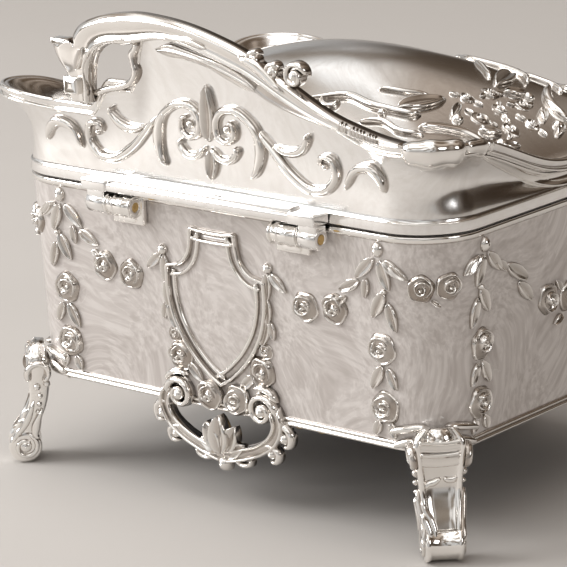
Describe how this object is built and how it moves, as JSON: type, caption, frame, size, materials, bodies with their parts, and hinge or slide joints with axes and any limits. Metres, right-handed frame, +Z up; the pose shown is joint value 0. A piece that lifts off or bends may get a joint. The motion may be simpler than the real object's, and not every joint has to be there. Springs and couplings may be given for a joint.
{
  "type": "ballerina jewellery box",
  "caption": "Footed cast jewellery casket with a hinged domed lid, pierced scroll ornament, mirror, turning dancer and musical movement.",
  "frame": {"origin": "middle of the footprint, on the surface that the feet stand on", "axes": "+Z up, front of the box along -Y, hinges along +Y, width along X"},
  "size_m": [0.1522, 0.1226, 0.1273],
  "materials": {
    "pearl_enamel": "pearl enamel with fine swirls over cast zinc",
    "silver_plate": "bright silver plate over cast zinc",
    "base_felt": "dark felt on hardboard",
    "board": "plain fibreboard",
    "velvet": "short ivory velvet",
    "brass": "polished brass",
    "steel": "ground spring steel",
    "mirror_glass": "silvered glass",
    "dancer_plastic": "painted moulded plastic",
    "tulle": "stiff white tulle"
  },
  "bodies": {
    "case": {"case_shell": "pearl_enamel", "back_cartouche": "silver_plate", "front_cartouche": "silver_plate", "back_garlands": "silver_plate", "front_garlands": "silver_plate", "side_garlands": "silver_plate", "corner_garlands": "silver_plate", "foot_back_left": "silver_plate", "foot_back_right": "silver_plate", "foot_front_left": "silver_plate", "foot_front_right": "silver_plate", "foot_screws": "silver_plate", "base_plate": "base_felt", "hinge_knuckles": "silver_plate", "deck_board": "board", "deck_velvet": "velvet", "wall_lining": "velvet", "bedplate": "brass", "spring_housing": "brass", "mainspring": "steel", "movement_screws": "steel", "comb": "steel", "comb_screws": "steel", "bearing_brackets": "brass"},
    "lid": {"lid_casting": "silver_plate", "lid_crest": "silver_plate", "lid_ornament": "silver_plate", "hinge_shelf": "silver_plate", "hinge_pins": "brass", "lid_lining": "velvet", "mirror": "mirror_glass"},
    "turntable": {"drive_wheel": "brass", "turntable_disc": "brass", "dancer_spring": "steel", "dancer_figure": "dancer_plastic", "dancer_tutu": "tulle"},
    "key": {"winding_key": "brass"},
    "cylinder": {"cylinder": "brass"},
    "governor_wheel": {"governor_wheel": "brass"},
    "governor_worm": {"governor_worm": "steel"}
  },
  "joints": [
    {"name": "lid_hinge", "type": "hinge", "parent": "case", "child": "lid", "pos_m": [0, 0.0583, 0.0761], "axis": [-1, 0, 0], "range_deg": [0, 100]},
    {"name": "turntable_spin", "type": "hinge", "parent": "case", "child": "turntable", "pos_m": [0, 0.018, 0.0285], "axis": [0, 0, 1], "continuous": true},
    {"name": "key_turn", "type": "hinge", "parent": "case", "child": "key", "pos_m": [0, 0.018, 0.025], "axis": [0, 0, 1], "continuous": true},
    {"name": "cylinder_spin", "type": "hinge", "parent": "case", "child": "cylinder", "pos_m": [0.0146, 0.018, 0.0375], "axis": [1, 0, 0], "continuous": true},
    {"name": "governor_wheel_spin", "type": "hinge", "parent": "case", "child": "governor_wheel", "pos_m": [0.0377, 0.02731, 0.03518], "axis": [1, 0, 0], "continuous": true},
    {"name": "governor_worm_spin", "type": "hinge", "parent": "case", "child": "governor_worm", "pos_m": [0.0384, 0.03476, 0.0285], "axis": [0, 0, 1], "continuous": true}
  ],
  "couplings": [
    {"joint": "key_turn", "follows": "turntable_spin", "ratio": 1},
    {"joint": "cylinder_spin", "follows": "turntable_spin", "ratio": -3},
    {"joint": "governor_wheel_spin", "follows": "turntable_spin", "ratio": 9},
    {"joint": "governor_worm_spin", "follows": "turntable_spin", "ratio": 180}
  ]
}
